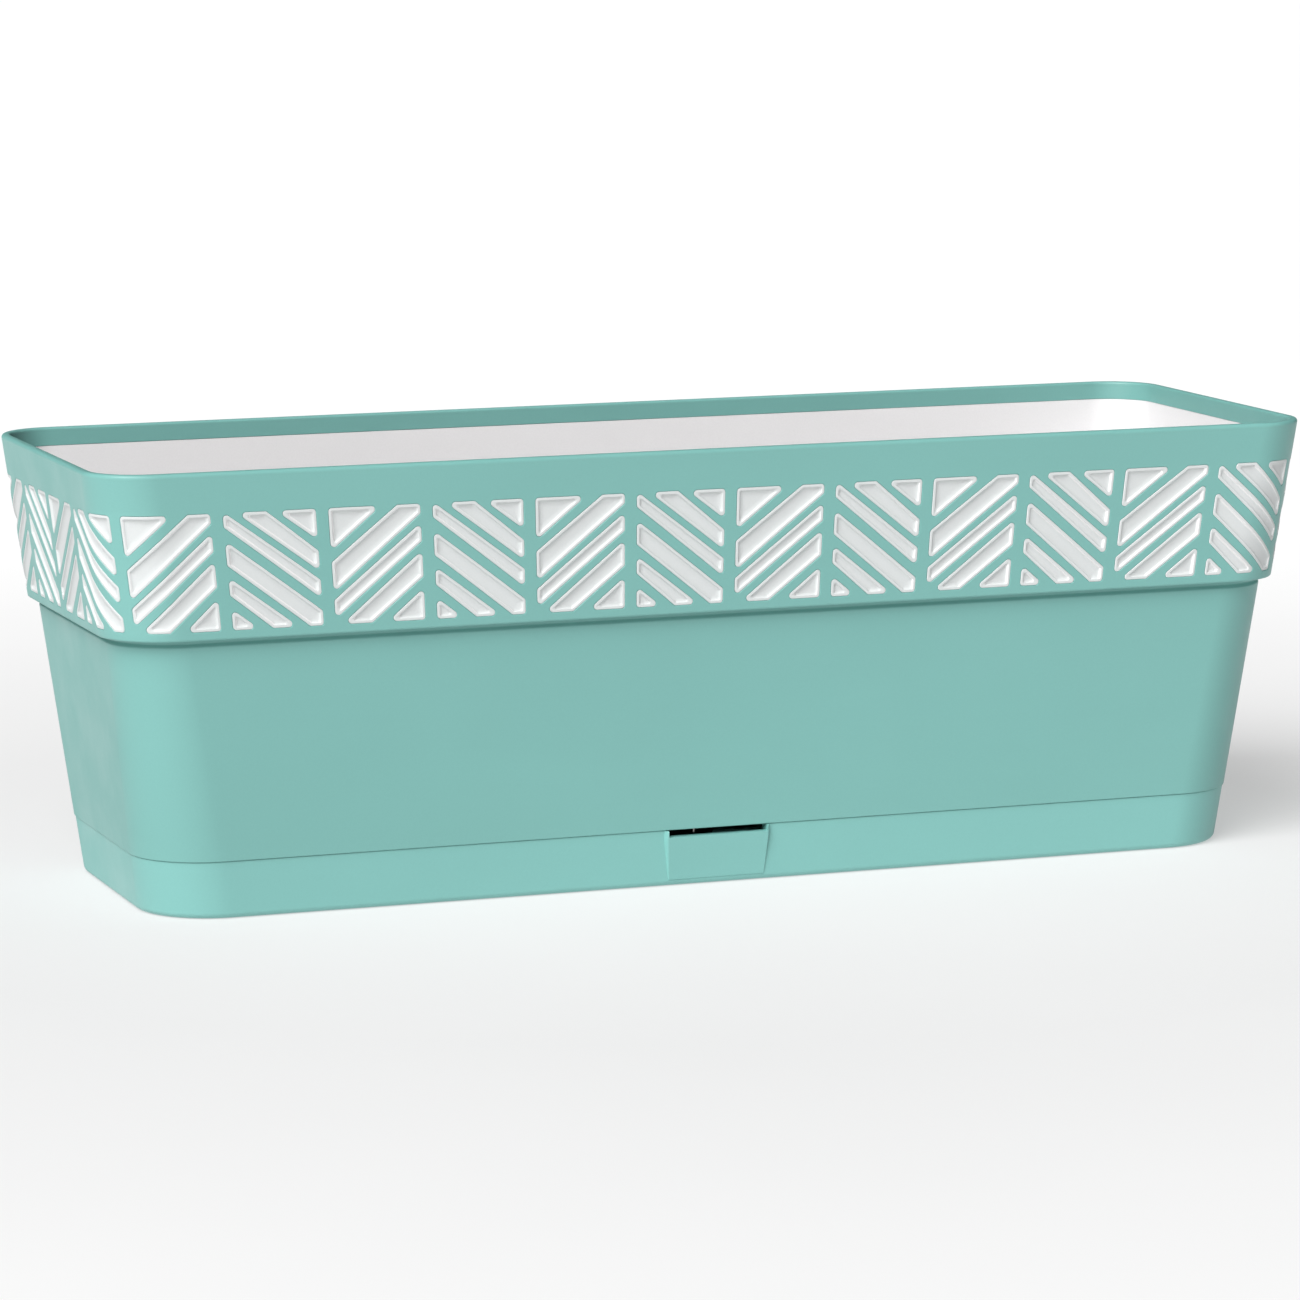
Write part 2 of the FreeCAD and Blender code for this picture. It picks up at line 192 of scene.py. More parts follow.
def inset(poly, d):
    """Inset of a convex counter-clockwise polygon by d (negative grows it)."""
    xs = [p[0] for p in poly]
    zs = [p[1] for p in poly]
    out = [(min(xs) - 5, min(zs) - 5), (max(xs) + 5, min(zs) - 5), (max(xs) + 5, max(zs) + 5), (min(xs) - 5, max(zs) + 5)]
    n = len(poly)
    for i in range(n):
        a, b = poly[i], poly[(i + 1) % n]
        ex, ez = b[0] - a[0], b[1] - a[1]
        L = math.hypot(ex, ez)
        nx, nz = -ez / L, ex / L
        out = clip_half(out, a[0] + nx * d, a[1] + nz * d, nx, nz)
        if len(out) < 3:
            return []
    # drop near-duplicate points
    res = []
    for p in out:
        if not res or math.hypot(p[0] - res[-1][0], p[1] - res[-1][1]) > 0.02:
            res.append(p)
    if len(res) > 1 and math.hypot(res[0][0] - res[-1][0], res[0][1] - res[-1][1]) <= 0.02:
        res.pop()
    return res if len(res) >= 3 else []


def area(poly):
    return 0.5 * sum(poly[i][0] * poly[(i + 1) % len(poly)][1] - poly[(i + 1) % len(poly)][0] * poly[i][1] for i in range(len(poly)))


def rounded(poly, r, step):
    """Round the corners with radius r, and split long sides into steps."""
    n = len(poly)
    pts = []
    for i in range(n):
        p, q, s = poly[i - 1], poly[i], poly[(i + 1) % n]
        v1 = (p[0] - q[0], p[1] - q[1])
        v2 = (s[0] - q[0], s[1] - q[1])
        l1, l2 = math.hypot(*v1), math.hypot(*v2)
        v1 = (v1[0] / l1, v1[1] / l1)
        v2 = (v2[0] / l2, v2[1] / l2)
        c = max(-1.0, min(1.0, v1[0] * v2[0] + v1[1] * v2[1]))
        half = math.acos(c) / 2
        if half > math.radians(86):
            pts.append([q])
            continue
        t = min(r / math.tan(half), 0.48 * l1, 0.48 * l2)
        rr = t * math.tan(half)
        bis = (v1[0] + v2[0], v1[1] + v2[1])
        bl = math.hypot(*bis)
        cx = q[0] + bis[0] / bl * rr / math.sin(half)
        cz = q[1] + bis[1] / bl * rr / math.sin(half)
        a0 = (q[0] + v1[0] * t, q[1] + v1[1] * t)
        a1 = (q[0] + v2[0] * t, q[1] + v2[1] * t)
        th0 = math.atan2(a0[1] - cz, a0[0] - cx)
        th1 = math.atan2(a1[1] - cz, a1[0] - cx)
        dth = (th1 - th0) % (2 * math.pi)
        m = max(3, int(round(dth / math.radians(26))))
        pts.append([(cx + rr * math.cos(th0 + dth * k / m), cz + rr * math.sin(th0 + dth * k / m)) for k in range(m + 1)])
    out = []
    for i in range(n):
        out.extend(pts[i])
        a, b = pts[i][-1], pts[(i + 1) % n][0]
        L = math.hypot(b[0] - a[0], b[1] - a[1])
        m = int(L / step)
        for k in range(1, m):
            out.append((a[0] + (b[0] - a[0]) * k / m, a[1] + (b[1] - a[1]) * k / m))
    return out


# ---- mesh gatherer: faces in smoothing regions, analytic normals where known ---
class Gather:
    def __init__(self):
        self.v = []
        self.f = []
        self.region = []
        self.an = {}          # (face index) -> list of normals, one per corner
        self.regions = 0

    def vert(self, x, y, z):
        self.v.append((x * MM, y * MM, z * MM))
        return len(self.v) - 1

    def new_region(self):
        self.regions += 1
        return self.regions

    def face(self, idx, region, normals=None):
        self.f.append(tuple(idx))
        self.region.append(region)
        if normals is not None:
            self.an[len(self.f) - 1] = normals

    def build(self, name):
        me = bpy.data.meshes.new(name)
        me.from_pydata(self.v, [], self.f)
        me.validate(verbose=False)
        nf = len(me.polygons)
        co = np.array(self.v, float)
        if nf != len(self.f):
            raise RuntimeError("%s: %d faces were not valid" % (name, len(self.f) - nf))
        sizes = np.array([len(f) for f in self.f])
        quad = np.array([f if len(f) == 4 else (*f, f[-1]) for f in self.f])
        p4 = co[quad]
        fn = np.zeros((nf, 3))
        for k in range(4):
            fn += np.cross(p4[:, k], p4[:, (k + 1) % 4])
        lv = np.concatenate([np.array(f) for f in self.f])
        lf = np.repeat(np.arange(nf), sizes)
        key = np.array(self.region)[lf] * len(co) + lv
        uniq, inv = np.unique(key, return_inverse=True)
        acc = np.zeros((len(uniq), 3))
        np.add.at(acc, inv, fn[lf])
        loops = acc[inv]
        start = np.concatenate([[0], np.cumsum(sizes)[:-1]])
        for i, nr in self.an.items():
            loops[start[i]:start[i] + sizes[i]] = nr
        length = np.linalg.norm(loops, axis=1)
        length[length == 0] = 1.0
        loops = loops / length[:, None]
        me.polygons.foreach_set("use_smooth", [True] * nf)
        me.normals_split_custom_set(loops.tolist())
        me.update()
        ob = bpy.data.objects.new(name, me)
        bpy.context.scene.collection.objects.link(ob)
        return ob


# ring samples shared by every plain zone: fine round the corners
def ring_samples():
    q = [i / 8.0 for i in range(8)]
    q += [1 + i / 24.0 for i in range(24)]
    q += [2 + i / 4.0 for i in range(4)]
    out = list(q)
    out += [6 - g for g in reversed(q[1:] + [3.0])]
    half = list(out)
    return half + [g + 6 for g in half]


RING = ring_samples()
NR = len(RING)


def ring_verts(G, dims, off, z):
    return [G.vert(*wall_point(g, z, off, dims)[:3]) for g in RING]


def strip(G, r0, r1, region, normal=None, flip=False):
    """Quads between two rings; r0 is lower. Outward-facing unless flipped."""
    for i in range(NR):
        j = (i + 1) % NR
        f = [r0[i], r0[j], r1[j], r1[i]]
        if flip:
            f.reverse()
        G.face(f, region, None)


def sweep(G, profile, start_ring=None, end_ring=None):
    """Profile: list of (dims, off, z, break). break starts a new smoothing
    region at that point. Points run so that the outside is on the outer side."""
    rings = []
    region = G.new_region()
    prev = start_ring
    for k, (dims, off, z, brk) in enumerate(profile):
        last = k == len(profile) - 1
        ring = end_ring if (last and end_ring is not None) else ring_verts(G, dims, off, z)
        if prev is not None:
            strip(G, prev, ring, region)
        if brk:
            region = G.new_region()
        prev = ring
        rings.append(ring)
    return rings


def arc_profile(dims, off_c, z_c, r, a0, a1, n=5):
    """Rounding in the section plane: off grows inward. Angle 0 is outward,
    90 is up."""
    out = []
    for k in range(n + 1):
        a = math.radians(a0 + (a1 - a0) * k / n)
        out.append((dims, off_c - r * math.cos(a), z_c + r * math.sin(a), False))
    return out


def brk(p):
    return (p[0], p[1], p[2], True)


# ---- islands and windows ---------------------------------------------------------
ISLANDS = []
for cell in range(32):
    for poly in (CELL_A if cell % 2 == 0 else CELL_B):
        if area(poly) < 0:
            poly = tuple(reversed(poly))
        g = sig_of(cell + 0.5, 134.0) % 6
        curved = 0.93 < (g if g <= 3 else 6 - g) < 2.07 or 0.6 < (g if g <= 3 else 6 - g) < 1.0
        ISLANDS.append((cell, poly, curved))


def to_domain(cell, pts):
    """Cell points to the flat domain (U, z)."""
    out = []
    for u, z in pts:
        g = sig_of(cell + u / CELL_W, z)
        out.append((u_of(g), z))
    return out


R_WIN = 1.35           # corner radius of the windows
SKIN_RINGS = [(-0.30, 0.0), (-0.088, 0.088), (0.0, 0.30), (0.0, SKIN_T)]
ISLE_RINGS = [(0.03, SKIN_T + 0.03), (0.03, 0.24), (0.10, 0.10), (0.24, 0.04), (1.0, 0.04),
              (1.09, 0.09), (1.2, 0.27), (1.36, 0.49), (1.62, 0.68), (2.05, 0.83), (2.65, 0.94), (3.4, 1.0)]


def outline(cell, poly, curved, d):
    """Outline of one window inset by d, with the same number of points for
    every d, by insetting the rounded outline along its own normals."""
    base = rounded(poly, R_WIN, 2.4 if curved else 9.0)
    n = len(base)
    out = []
    for i in range(n):
        p, q, s = base[i - 1], base[i], base[(i + 1) % n]
        tx, tz = s[0] - p[0], s[1] - p[1]
        L = math.hypot(tx, tz)
        out.append((q[0] - tz / L * d, q[1] + tx / L * d))
    return out


def band_point(G, U, z, h, extra=0.0):
    g = g_of(U)
    x, y, _, nx, ny = wall_point(g, z, 0.0, collar)
    n = wall_normal(g, z)
    return G.vert(x - n.x * h, y - n.y * h, z - n.z * h)


def band_domain_rings():
    """Boundary points of the flat domain at the band's bottom and top, one per
    ring sample, plus the closing column at a full turn."""
    us = [u_of(g) for g in RING] + [4 * Q]
    return us


def inside(poly, x, y):
    n = len(poly)
    c = False
    j = n - 1
    for i in range(n):
        xi, yi = poly[i]
        xj, yj = poly[j]
        if (yi > y) != (yj > y) and x < (xj - xi) * (y - yi) / (yj - yi) + xi:
            c = not c
        j = i
    return c


def dist_poly(poly, x, y):
    best = 1e9
    n = len(poly)
    for i in range(n):
        ax, ay = poly[i]
        bx, by = poly[(i + 1) % n]
        dx, dy = bx - ax, by - ay
        L = dx * dx + dy * dy
        t = max(0.0, min(1.0, ((x - ax) * dx + (y - ay) * dy) / L)) if L > 0 else 0
        best = min(best, math.hypot(x - ax - dx * t, y - ay - dy * t))
    return best


def band_plan():
    """Triangulates the band once: points in the domain, triangles outside the
    windows, and for each window the indices of its outline."""
    us = band_domain_rings()
    pts = [(u, BAND_BOT) for u in us] + [(u, BAND_TOP) for u in us]
    n = len(us)
    edges = [(i, i + 1) for i in range(n - 1)] + [(n + i, n + i + 1) for i in range(n - 1)] + [(0, n), (n - 1, 2 * n - 1)]
    holes = []
    polys = []
    for cell, poly, curved in ISLANDS:
        ring = to_domain(cell, outline(cell, poly, curved, SKIN_RINGS[0][0]))
        base = len(pts)
        pts.extend(ring)
        m = len(ring)
        edges.extend((base + i, base + (i + 1) % m) for i in range(m))
        holes.append(list(range(base, base + m)))
        polys.append(ring)
    boxes = [(min(p[0] for p in r), max(p[0] for p in r), min(p[1] for p in r), max(p[1] for p in r)) for r in polys]
    # steiner points round the corners, outside the windows
    for g in RING:
        s = g % 6
        s = s if s <= 3 else 6 - s
        if not (0.99 <= s <= 2.01):
            continue
        u = u_of(g)
        z = BAND_BOT + 1.6
        while z < BAND_TOP - 0.8:
            ok = True
            for r, bx in zip(polys, boxes):
                if bx[0] - 0.7 < u < bx[1] + 0.7 and bx[2] - 0.7 < z < bx[3] + 0.7:
                    if inside(r, u, z) or dist_poly(r, u, z) < 0.55:
                        ok = False
                        break
            if ok:
                pts.append((u, z))
            z += 1.7
    vo, _, fo, ov, _, of_ = delaunay_2d_cdt([Vector(p) for p in pts], edges, holes, 0, 1e-5)
    if len(vo) != len(pts):
        raise RuntimeError("band: points merged or crossed, %d in, %d out" % (len(pts), len(vo)))
    # output order to input order
    back = [o[0] for o in ov]
    tris = []
    for f, src in zip(fo, of_):
        if src:
            continue
        tris.append(tuple(back[i] for i in f))
    return pts, tris, holes, n


PTS, TRIS, HOLES, NB = band_plan()
NORMALS = [tuple(wall_normal(g_of(u), z)) for u, z in PTS]


def band_surface(G, h, r_bot, r_top, flip, islands_cb=None):
    """Adds the band's wall at depth h, sewn to rings r_bot and r_top. Returns
    for every window the vertex indices of its outline."""
    idx = {}
    for k, (u, z) in enumerate(PTS):
        if k < NB:
            idx[k] = r_bot[k % NR]
        elif k < 2 * NB:
            idx[k] = r_top[(k - NB) % NR]
        else:
            idx[k] = band_point(G, u, z, h)
    for t in TRIS:
        ids = [idx[i] for i in t]
        if len(set(ids)) < 3:
            continue
        nr = [NORMALS[i] for i in t]
        if flip:
            ids.reverse()
            nr = [tuple(-c for c in q) for q in reversed(nr)]
        G.face(ids, 0, nr)
    return [[idx[i] for i in h_] for h_ in HOLES]


def link(G, r0, r1, region, flip=False):
    n = len(r0)
    for i in range(n):
        j = (i + 1) % n
        f = [r0[i], r0[j], r1[j], r1[i]]
        if flip:
            f.reverse()
        G.face(f, region)


# ---- coloured skin -----------------------------------------------------------------
def make_skin():
    G = Gather()
    gap = 0.0
    # outside, from the skirt's foot up to the band
    prof = [(body, SKIN_T, SEAM_Z + 0.02, True), (body, 0.30, SEAM_Z + 0.02, False)]
    prof += [(body, 0.15, SEAM_Z + 0.06, False), (body, 0.04, SEAM_Z + 0.15, False), (body, 0.0, SEAM_Z + 0.32, True)]
    for z in (36.0, 50.0, 64.0, 78.0, 92.0, 100.0):
        prof.append((body, 0.0, z, False))
    # the relief groove that runs under the collar
    prof.append((body, 0.0, COLLAR_Z - 3.1, True))
    prof += [(body, 0.1, COLLAR_Z - 2.75, False), (body, 0.35, COLLAR_Z - 2.35, False), (body, 0.75, COLLAR_Z - 1.9, False),
             (body, 0.9, COLLAR_Z - 1.5, True)]
    prof += [(body, 0.9, COLLAR_Z - 0.45, False), (body, 0.77, COLLAR_Z - 0.13, False), (body, 0.45, COLLAR_Z, True)]
    e = 0.75
    prof += [(collar, e, COLLAR_Z, True)]
    prof += [(collar, e * 0.38, COLLAR_Z + e * 0.08, False), (collar, e * 0.08, COLLAR_Z + e * 0.38, False), (collar, 0.0, COLLAR_Z + e, True)]
    prof.append((collar, 0.0, BAND_BOT, False))
    low = sweep(G, prof)
    # outside, from the band up over the rim and down the lip
    r = 1.55
    prof = [(collar, 0.0, BAND_TOP, False), (collar, 0.0, 163.0, False), (collar, 0.0, 168.0, False), (collar, 0.0, HEIGHT - r, True)]
    prof += arc_profile(collar, r, HEIGHT - r, r, 15, 90, 5)
    prof[-1] = brk(prof[-1])
    t_in, r2 = WALL_T + 0.12, 0.9
    prof.append((collar, t_in - r2, HEIGHT, True))
    for k in range(1, 5):
        a = math.radians(90 - 22.5 * k)
        prof.append((collar, t_in - r2 + r2 * math.cos(a), HEIGHT - r2 + r2 * math.sin(a), k == 4))
    prof.append((collar, t_in, LIP_Z + 0.22, True))
    prof += [(collar, t_in - 0.05, LIP_Z + 0.08, False), (collar, t_in - 0.2, LIP_Z + 0.02, True)]
    prof.append((collar, 2.48, LIP_Z + 0.02, True))
    prof.append((collar, 2.48, HEIGHT - SKIN_T + 0.03, True))
    prof.append((collar, SKIN_T, HEIGHT - SKIN_T + 0.03, True))
    prof.append((collar, SKIN_T, BAND_TOP, True))
    high = sweep(G, prof)
    # back of the skin below the band
    prof = [(collar, SKIN_T, BAND_BOT, False), (collar, SKIN_T, COLLAR_Z + SKIN_T, True),
            (body, SKIN_T, COLLAR_Z + SKIN_T, True), (body, SKIN_T, 60.0, False)]
    back = sweep(G, prof)
    strip(G, back[-1], low[0], G.new_region())
    # the band, front and back faces, and the window walls between them
    front = band_surface(G, 0.0, low[-1], high[0], False)
    rear_h = band_surface(G, SKIN_T, back[0], high[-1], True)
    for (cell, poly, curved), f0, b0 in zip(ISLANDS, front, rear_h):
        prev = f0
        reg = G.new_region()
        for k in (1, 2):
            d, h = SKIN_RINGS[k]
            ring = [band_point(G, u, z, h) for u, z in to_domain(cell, outline(cell, poly, curved, d))]
            link(G, prev, ring, reg)
            prev = ring
        link(G, prev, b0, G.new_region())
    return G.build("planter_skin")


# ---- white inner layer -------------------------------------------------------------
def make_inner():
    G = Gather()
    o = SKIN_T + 0.03
    prof = [(body, 2.6, SEAM_Z + 0.12, True), (body, o, SEAM_Z + 0.12, True), (body, o, 60.0, False), (body, o, COLLAR_Z + o, True),
            (collar, o, COLLAR_Z + o, True), (collar, o, BAND_BOT + 1.0, False)]
    prof[-1] = (collar, o, BAND_BOT, False)
    low = sweep(G, prof)
    prof = [(collar, o, BAND_TOP, False), (collar, o, HEIGHT - SKIN_T, True), (collar, 2.45, HEIGHT - SKIN_T, True),
            (collar, 2.45, LIP_Z, True), (collar, WALL_T - 0.15, LIP_Z, False), (collar, WALL_T - 0.04, LIP_Z - 0.04, False),
            (collar, WALL_T, LIP_Z - 0.15, True)]
    for z in (150.0, 135.0, 122.0):
        prof.append((collar, WALL_T, z, False))
    zl = COLLAR_Z + WALL_T
    prof.append((collar, WALL_T, zl + 1.4, True))
    prof += [(collar, WALL_T + 0.2, zl + 0.65, False), (collar, WALL_T + 0.7, zl + 0.18, False), (collar, WALL_T + 1.4, zl, True)]
    prof += [(body, WALL_T - 0.8, zl, True), (body, WALL_T - 0.3, zl - 0.1, False), (body, WALL_T - 0.06, zl - 0.35, False),
             (body, WALL_T, zl - 0.9, True)]
    for z in (90.0, 70.0, 50.0):
        prof.append((body, WALL_T, z, False))
    prof += [(body, WALL_T, 35.6, True), (body, WALL_T + 0.3, 34.7, False), (body, WALL_T + 1.0, 34.15, False), (body, WALL_T + 1.8, 34.0, True)]
    prof += [(body, WALL_T + 4.2, 34.0, True), (body, WALL_T + 4.48, 33.88, False), (body, WALL_T + 4.6, 33.6, True),
             (body, WALL_T + 4.6, 33.0, True), (body, 2.6, 27.6, True)]
    high = sweep(G, prof)
    strip(G, high[-1], low[0], G.new_region())
    holes = band_surface(G, o, low[-1], high[0], False)
    for (cell, poly, curved), h0 in zip(ISLANDS, holes):
        # the flange of the island where it leaves the wall
        prev = h0
        polyd = poly
        rings = []
        for k, (d, h) in enumerate(ISLE_RINGS):
            if k < 5:
                ring2 = outline(cell, poly, curved, d)
            else:
                break
            ring = [band_point(G, u, z, h) for u, z in to_domain(cell, ring2)]
            reg = G.new_region() if k in (0, 1, 2, 4) else reg
            link(G, prev, ring, reg)
            prev = ring
            last2 = ring2
        # dished face inside the frame
        d0 = ISLE_RINGS[4][0]
        pts = [to_domain(cell, [p])[0] for p in last2]
        hs = [ISLE_RINGS[4][1]] * len(pts)
        n0 = len(pts)
        edges = [(i, (i + 1) % n0) for i in range(n0)]
        fill = [list(range(n0))]
        for d, h in ISLE_RINGS[5:]:
            ip = inset(poly, d)
            if not ip or area(ip) < 0.25:
                break
            ring2 = rounded(ip, max(0.25, R_WIN - d * 0.5), 2.4 if curved else 5.0)
            base = len(pts)
            pts.extend(to_domain(cell, ring2))
            hs.extend([h] * len(ring2))
            edges.extend((base + i, base + (i + 1) % len(ring2)) for i in range(len(ring2)))
        vo, _, fo, ov, _, of_ = delaunay_2d_cdt([Vector(p) for p in pts], edges, fill, 0, 1e-5)
        reg = G.new_region()
        vid = []
        for v, o_ in zip(vo, ov):
            if o_:
                k = o_[0]
                vid.append(prev[k] if k < n0 else band_point(G, pts[k][0], pts[k][1], hs[k]))
            else:
                # crossing of two rings: take the depth of the nearest point
                k = min(range(len(pts)), key=lambda i: (pts[i][0] - v.x) ** 2 + (pts[i][1] - v.y) ** 2)
                vid.append(band_point(G, v.x, v.y, hs[k]))
        for f, src in zip(fo, of_):
            if 0 in src:
                G.face([vid[i] for i in f], reg)
    return G.build("planter_inner")


skin = make_skin()
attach(skin, "pot"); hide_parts("pot_skin")
inner = make_inner()
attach(inner, "pot"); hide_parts("pot_inner")


# ---- reservoir tray ------------------------------------------------------------------
TRAY_IN, TRAY_EDGE, FOOT_W, FOOT_H, TRAY_T = 0.45, 2.2, 9.0, 0.8, 2.6
SLOT_W, SLOT_Z = 41.0, 19.7
TONGUE_W, TONGUE_W0, TONGUE_OUT, TONGUE_SIDE, TONGUE_Z = 44.0, 40.0, 1.8, 1.1, 18.0


def link_object(name, me):
    ob = bpy.data.objects.new(name, me)
    bpy.context.scene.collection.objects.link(ob)
    return ob


def mesh_object(name, verts, faces):
    me = bpy.data.meshes.new(name)
    me.from_pydata([tuple(c * MM for c in v) for v in verts], [], faces)
    me.validate()
    return link_object(name, me)


def settle(ob, sharp=30.0, weighted=True):
    """Applies the modifiers and gives the mesh clean, angle-based shading."""
    if weighted:
        w = ob.modifiers.new("weigh", "WEIGHTED_NORMAL")
        w.keep_sharp = True
        w.weight = 60
    ob.data.polygons.foreach_set("use_smooth", [True] * len(ob.data.polygons))
    ob.data.set_sharp_from_angle(angle=math.radians(sharp))
    dg = bpy.context.evaluated_depsgraph_get()
    me = bpy.data.meshes.new_from_object(ob.evaluated_get(dg), depsgraph=dg)
    ob.modifiers.clear()
    old = ob.data
    ob.data = me
    bpy.data.meshes.remove(old)
    me.name = ob.name
    return ob


def apply_boolean(ob, tool, op):
    m = ob.modifiers.new("cut", "BOOLEAN")
    m.operation = op
    m.solver = "EXACT"
    m.object = tool
    dg = bpy.context.evaluated_depsgraph_get()
    me = bpy.data.meshes.new_from_object(ob.evaluated_get(dg), depsgraph=dg)
    ob.modifiers.clear()
    old = ob.data
    ob.data = me
    bpy.data.meshes.remove(old)
    bpy.data.objects.remove(tool)


def make_tray():
    verts, faces = [], []

    def ring(off, z):
        base = len(verts)
        verts.extend(wall_point(g, z, off, body)[:3] for g in RING)
        return list(range(base, base + NR))

    prof = [(TRAY_IN + TRAY_EDGE + FOOT_W, FOOT_H), (TRAY_IN + TRAY_EDGE + FOOT_W, 0.3), (TRAY_IN + TRAY_EDGE + FOOT_W - 0.3, 0.0)]
    for k in range(7):
        a = math.pi / 2 * k / 6
        prof.append((TRAY_IN + TRAY_EDGE * (1 - math.sin(a)), TRAY_EDGE * (1 - math.cos(a))))
    prof += [(TRAY_IN, 8.0), (TRAY_IN, 15.0)]
    r, zt = 0.28, SEAM_Z - 0.05
    for k in range(4):
        a = math.pi / 2 * k / 3
        prof.append((TRAY_IN + r * (1 - math.cos(a)), zt - r + r * math.sin(a)))
    prof += [(2.65, zt), (2.88, zt + 0.07), (2.95, zt + 0.3), (3.62, 26.45), (3.72, 26.85), (4.0, 27.0), (5.6, 27.0), (5.86, 26.87), (5.9, 26.5), (5.15, SEAM_Z),
             (5.15, 19.8), (3.05, 19.8), (3.05, 4.3)]
    for k in range(1, 5):
        a = math.pi / 2 * k / 4
        prof.append((3.05 + 1.7 * (1 - math.cos(a)), 4.3 - 1.7 * math.sin(a)))
    rings = [ring(*p) for p in prof]
    for r0, r1 in zip(rings, rings[1:]):
        for i in range(NR):
            j = (i + 1) % NR
            faces.append((r0[i], r0[j], r1[j], r1[i]))
    faces.append(tuple(reversed(rings[0])))
    faces.append(tuple(rings[-1]))
    tray = mesh_object("tray_shell", verts, faces)

    # drip lip: a trapezium with eased corners, proud at the slot, dying away below
    yf = lambda z: -body(z)[1] + TRAY_IN

    def lip(z, w, o):
        run = TONGUE_SIDE / TONGUE_OUT
        pts = [(-w - 1.4 * run, yf(z) + 1.4)]
        e = min(0.5, 0.4 * o)
        for cx, sgn in ((-w + o * run, -1), (w - o * run, 1)):
            c = (cx, yf(z) - o)
            corner = [(c[0] + sgn * e * (run * a - 0.9 * b_), c[1] + e * a)
                      for a, b_ in ((1.0, 0.0), (0.444, 0.111), (0.111, 0.444), (0.0, 1.0))]
            pts.extend(corner if sgn < 0 else reversed(corner))
        pts.append((w + 1.4 * run, yf(z) + 1.4))
        return [(x, y, z) for x, y in pts]

    w1, w0, o1 = TONGUE_W / 2, TONGUE_W0 / 2, TONGUE_OUT
    zt2 = SEAM_Z - 0.2
    secs = []
    for z in (2.5, 6.4, 10.3, 14.2, 18.0):
        f = (z - 2.5) / 15.5
        secs.append(lip(z, w0 + (w1 - w0) * f, 0.25 + (o1 * 0.93 - 0.25) * f))
    secs += [lip(19.7, w1, o1 * 0.97), lip(zt2 - 0.75, w1, o1), lip(zt2 - 0.42, w1, o1 - 0.1), lip(zt2 - 0.14, w1, o1 - 0.33), lip(zt2, w1, o1 - 0.75)]
    n = len(secs[0])
    lv = [p for s_ in secs for p in s_]
    lf = []
    for k in range(len(secs) - 1):
        for i in range(n):
            j = (i + 1) % n
            lf.append((k * n + i, k * n + j, (k + 1) * n + j, (k + 1) * n + i))
    lf.append(tuple(reversed(range(n))))
    lf.append(tuple(range((len(secs) - 1) * n, len(secs) * n)))
    tongue = mesh_object("lip_tool", lv, lf)
    apply_boolean(tray, tongue, "UNION")
    y0, y1 = yf(SEAM_Z) - 5, yf(SEAM_Z) + 7.5
    x, e = SLOT_W / 2, 0.35
    top = SEAM_Z + 0.03
    sec = [(-x + e, SLOT_Z), (x - e, SLOT_Z), (x - 0.1, SLOT_Z + 0.1), (x, SLOT_Z + e), (x, top), (-x, top), (-x, SLOT_Z + e), (-x + 0.1, SLOT_Z + 0.1)]
    bv = [(p[0], y0, p[1]) for p in sec] + [(p[0], y1, p[1]) for p in sec]
    m = len(sec)
    bf = [tuple(range(m)), tuple(reversed(range(m, 2 * m)))]
    bf += [((i + 1) % m, i, m + i, m + (i + 1) % m) for i in range(m)]
    slot_tool = mesh_object("slot_tool", bv, bf)
    apply_boolean(tray, slot_tool, "DIFFERENCE")
    bm = bmesh.new()
    bm.from_mesh(tray.data)
    bmesh.ops.remove_doubles(bm, verts=bm.verts, dist=2e-6)
    bmesh.ops.dissolve_degenerate(bm, edges=bm.edges, dist=1e-6)
    bm.to_mesh(tray.data)
    bm.free()
    return settle(tray, 28.0)


tray = make_tray()
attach(tray, "tray"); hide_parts("reservoir_tray")


# ---- materials -----------------------------------------------------------------------
def new_material(name):
    m = bpy.data.materials.new(name)
    m.use_nodes = True
    nt = m.node_tree
    nt.nodes.clear()
    out = nt.nodes.new("ShaderNodeOutputMaterial")
    b = nt.nodes.new("ShaderNodeBsdfPrincipled")
    nt.links.new(b.outputs["BSDF"], out.inputs["Surface"])
    tc = nt.nodes.new("ShaderNodeTexCoord")
    return m, nt, b, tc


def noise_node(nt, src, scale, detail=2.0, rough=0.5, seed=0.0, stretch=None):
    if stretch or seed:
        mp = nt.nodes.new("ShaderNodeMapping")
        mp.inputs["Location"].default_value = (seed, seed * 0.7, seed * 1.3)
        if stretch:
            mp.inputs["Scale"].default_value = stretch
        nt.links.new(src, mp.inputs["Vector"])
        src = mp.outputs["Vector"]
    n = nt.nodes.new("ShaderNodeTexNoise")
    n.inputs["Scale"].default_value = scale
    n.inputs["Detail"].default_value = detail
    n.inputs["Roughness"].default_value = rough
    nt.links.new(src, n.inputs["Vector"])
    return n.outputs["Fac"]


def ramp_node(nt, fac, stops):
    r = nt.nodes.new("ShaderNodeValToRGB")
    el = r.color_ramp.elements
    while len(el) < len(stops):
        el.new(0.5)
    for e, (pos, col) in zip(el, stops):
        e.position = pos
        e.color = (*col, 1.0) if len(col) == 3 else col
    nt.links.new(fac, r.inputs["Fac"])
    return r.outputs["Color"]


def map_node(nt, fac, lo, hi, f0=0.3, f1=0.7):
    n = nt.nodes.new("ShaderNodeMapRange")
    n.inputs["From Min"].default_value = f0
    n.inputs["From Max"].default_value = f1
    n.inputs["To Min"].default_value = lo
    n.inputs["To Max"].default_value = hi
    nt.links.new(fac, n.inputs["Value"])
    return n.outputs["Result"]


